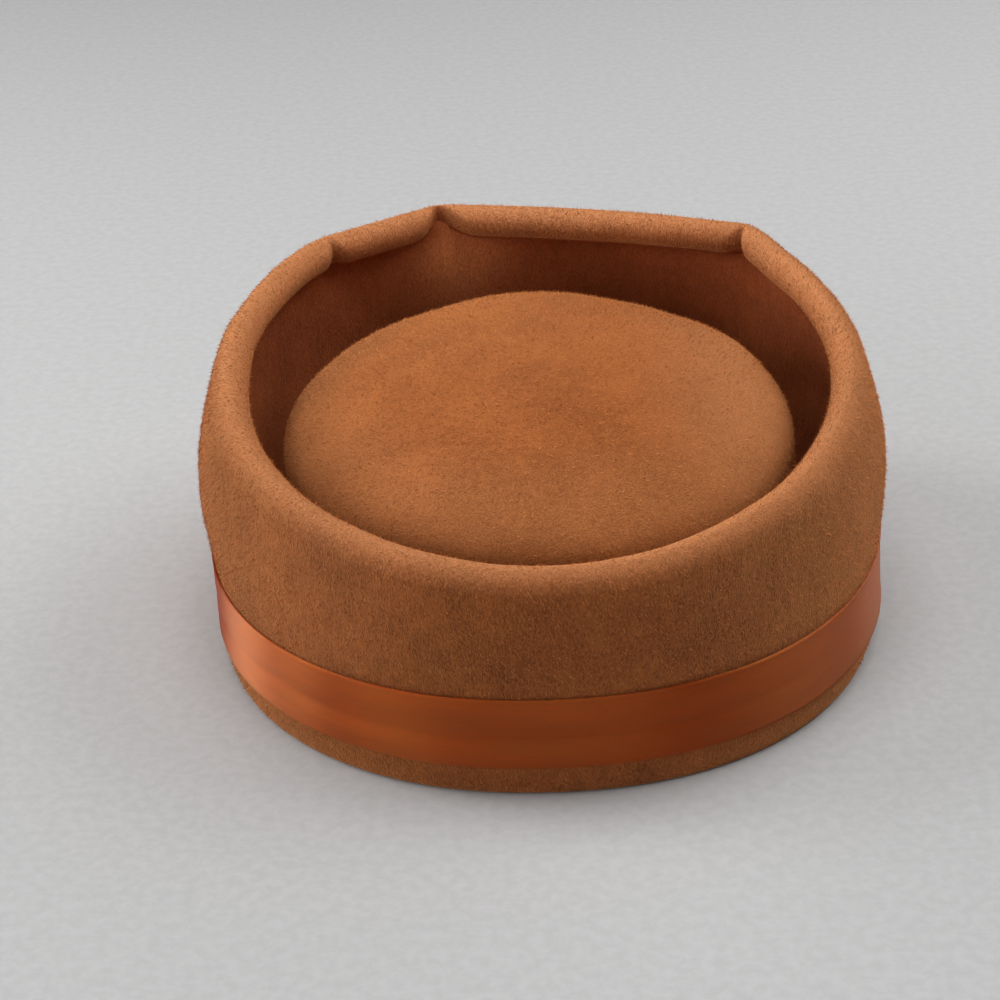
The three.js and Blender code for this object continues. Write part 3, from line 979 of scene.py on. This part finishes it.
satin = bpy.data.materials.new("rust_satin")
satin.use_nodes = True
tree = satin.node_tree
shader = tree.nodes["Principled BSDF"]
uv = tree.nodes.new("ShaderNodeUVMap")
uv.uv_map = "weave"
thread, slub, wave = (
    ramp_node(tree, noise_node(tree, mapping_node(tree, uv.outputs[0], waves), 1, rough=rough))
    for waves, rough in ((FLOAT_WAVES, 0.6), (SLUB_WAVES, 0.5), (DYE_WAVES, 0.5))
)
tone = math_node(tree, "MULTIPLY", slub, SLUB_DYED)
tone = math_node(tree, "MULTIPLY_ADD", thread, THREAD_DYED, tone)
tone = math_node(tree, "MULTIPLY_ADD", wave, WAVE_DYED, tone)
dye = mix_colour(tree, tone, (0.16, 0.010, 0.003, 1), (0.32, 0.029, 0.005, 1))
link(tree, dye, shader.inputs["Base Color"])
gloss = math_node(tree, "MULTIPLY_ADD", slub, SLUB_ROUGHER, SATIN_ROUGHNESS)
link(tree, gloss, shader.inputs["Roughness"])
relief = math_node(tree, "MULTIPLY", slub, 0.5)
relief = math_node(tree, "MULTIPLY_ADD", thread, 0.5, relief)
bump = tree.nodes.new("ShaderNodeBump")
bump.inputs["Strength"].default_value = 0.3
bump.inputs["Distance"].default_value = 0.0001
link(tree, relief, bump.inputs["Height"])
link(tree, bump.outputs["Normal"], shader.inputs["Normal"])
shader.inputs["Specular IOR Level"].default_value = 1.0
shader.inputs["IOR"].default_value = 1.9
shader.inputs["Specular Tint"].default_value = (1.0, 0.37, 0.08, 1)
shader.inputs["Anisotropic"].default_value = 1.0
shader.inputs["Anisotropic Rotation"].default_value = 0.25
ribbon.data.materials.append(satin)
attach(ribbon, "root")
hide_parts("ribbon")


# ---------------------------------------------------------------------------------------------
# Stage
# A pale floor with a faint grain, eight soft round lamps, three of them overhead, and the camera
# at standing height over a table, turned a little about its own line of sight.
# ---------------------------------------------------------------------------------------------

CAMERA_AWAY = 0.831
CAMERA_UP = 31.0
CAMERA_LENS = 86.4
CAMERA_SENSOR = 36
CAMERA_ROLL = -2.05
# The frame is 1000 wide and high. On that scale the lens is 2400 long, and the foot of the hat's
# axis stands this far from the frame's top left corner.
FRAME_SIZE = 1000
FRAME_FOCAL = 2400
FOOT_IN_FRAME = (547.5, 598.5)
FLOOR_HALF = 6
FLOOR_WAVES = 260
LAMP_AIM = Vector((0, 0, 0.05))

floor_mesh = bpy.data.meshes.new("floor")
near, far_off = -FLOOR_HALF, FLOOR_HALF
floor_corners = [(near, near, 0), (far_off, near, 0), (far_off, far_off, 0), (near, far_off, 0)]
floor_mesh.from_pydata(floor_corners, [], [(0, 1, 2, 3)])
floor = bpy.data.objects.new("floor", floor_mesh)
bpy.context.scene.collection.objects.link(floor)
pale = bpy.data.materials.new("pale_floor")
pale.use_nodes = True
tree = pale.node_tree
shader = tree.nodes["Principled BSDF"]
where = tree.nodes.new("ShaderNodeTexCoord")
grain = noise_node(tree, where.outputs["Object"], FLOOR_WAVES, detail=3.0, rough=0.6)
dark_grain, pale_grain = (0.435, 0.435, 0.435, 1), (0.475, 0.475, 0.475, 1)
floor_colour = mix_colour(tree, ramp_node(tree, grain), dark_grain, pale_grain)
link(tree, floor_colour, shader.inputs["Base Color"])
shader.inputs["Roughness"].default_value = 0.9
shader.inputs["Specular IOR Level"].default_value = 0.2
floor.data.materials.append(pale)


def soft_light(name, place_at, size, power):
    """A round lamp that faces the hat. Its size is in metres and its power in watts."""
    lamp = bpy.data.lights.new(name, "AREA")
    lamp.shape = "DISK"
    lamp.size = size
    lamp.energy = power
    light = bpy.data.objects.new(name, lamp)
    light.location = place_at
    aim = LAMP_AIM - Vector(place_at)
    light.rotation_euler = aim.to_track_quat("-Z", "Y").to_euler()
    bpy.context.scene.collection.objects.link(light)


soft_light("overhead", (0, 0, 1.5), 1.0, 11.6)
soft_light("overhead_left", (-0.9, 0.2, 1.1), 0.5, 3.9)
soft_light("overhead_right", (0.9, 0.2, 1.1), 0.9, 8.2)
soft_light("left_side", (-1.3, 0.0, 0.45), 0.8, 4.8)
soft_light("left_back", (-1.25, 0.5, 0.3), 0.6, 7.4)
soft_light("right_back", (0.9, 0.9, 0.7), 0.8, 4.6)
soft_light("left_front", (-1.0, -0.9, 0.6), 0.9, 4.5)
soft_light("front", (0, -2.0, 1.0), 2.4, 6.6)

world = bpy.data.worlds.new("room")
world.use_nodes = True
background = world.node_tree.nodes["Background"]
background.inputs["Color"].default_value = (1, 1, 1, 1)
background.inputs["Strength"].default_value = 0.01
bpy.context.scene.world = world

elevation = math.radians(CAMERA_UP)
back = Vector((0, -math.cos(elevation), math.sin(elevation)))
camera = bpy.data.objects.new("camera", bpy.data.cameras.new("camera"))
bpy.context.scene.collection.objects.link(camera)
camera.data.lens = CAMERA_LENS
camera.data.sensor_width = CAMERA_SENSOR
foot_point = Vector((axis_x, axis_y, 0))
camera.location = foot_point + back * CAMERA_AWAY
level = (-back).to_track_quat("-Z", "Y").to_matrix()
roll = Matrix.Rotation(math.radians(CAMERA_ROLL), 3, "Z")
camera.rotation_euler = (level @ roll).to_euler()

# It is then turned until the foot of the hat's axis stands at its place in the frame
off_x, off_y = FOOT_IN_FRAME[0] - FRAME_SIZE / 2, FRAME_SIZE / 2 - FOOT_IN_FRAME[1]
seen = Vector((off_x / FRAME_FOCAL, off_y / FRAME_FOCAL, -1)).normalized()
wanted = (foot_point - camera.location).normalized()
held = camera.rotation_euler.to_matrix()
turn_by = (held @ seen).rotation_difference(wanted).to_matrix()
camera.rotation_euler = (turn_by @ held).to_euler()
bpy.context.scene.camera = camera
bpy.context.scene.view_settings.view_transform = "Standard"
